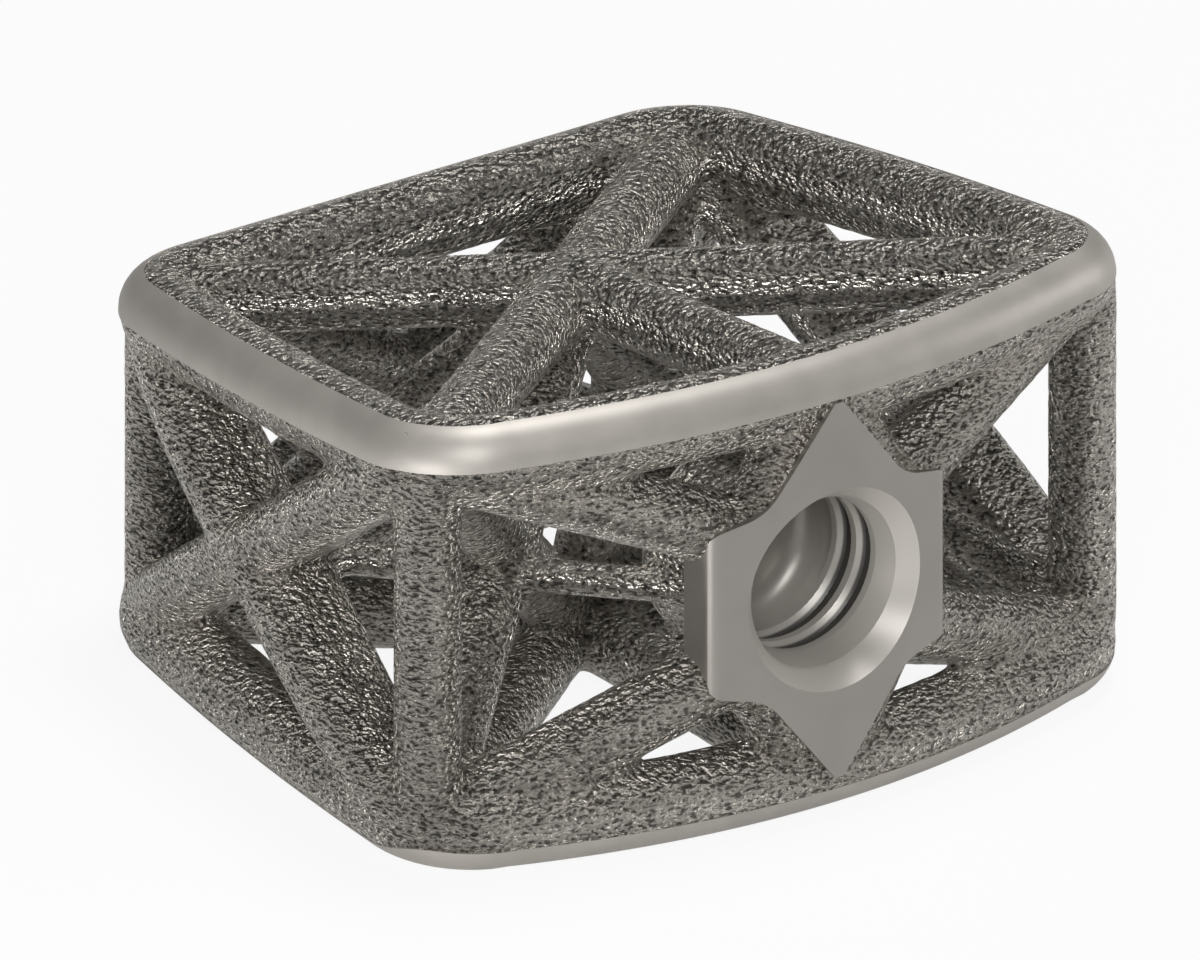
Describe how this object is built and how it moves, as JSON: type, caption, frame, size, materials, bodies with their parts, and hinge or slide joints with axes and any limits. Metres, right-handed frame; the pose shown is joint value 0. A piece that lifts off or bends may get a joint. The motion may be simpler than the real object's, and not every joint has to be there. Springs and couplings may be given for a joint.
{
  "type": "spinal interbody cage",
  "caption": "Open titanium truss cage for between two vertebrae: rounded end rings, crossed struts, and a star-faced boss with a countersunk threaded inserter hole.",
  "frame": {"origin": "under the middle of the cage's box, in the plane of the lower ring's resting flat", "axes": "-Z faces the surface it rests on, -Y is the anterior side with the inserter hole, +X is lateral"},
  "size_m": [0.0172, 0.0144, 0.0092],
  "materials": {
    "printed_titanium": "rough as-printed titanium alloy, with smooth rims and a smooth machined star face"
  },
  "bodies": {
    "root": {"truss_cage": "printed_titanium"}
  },
  "joints": []
}
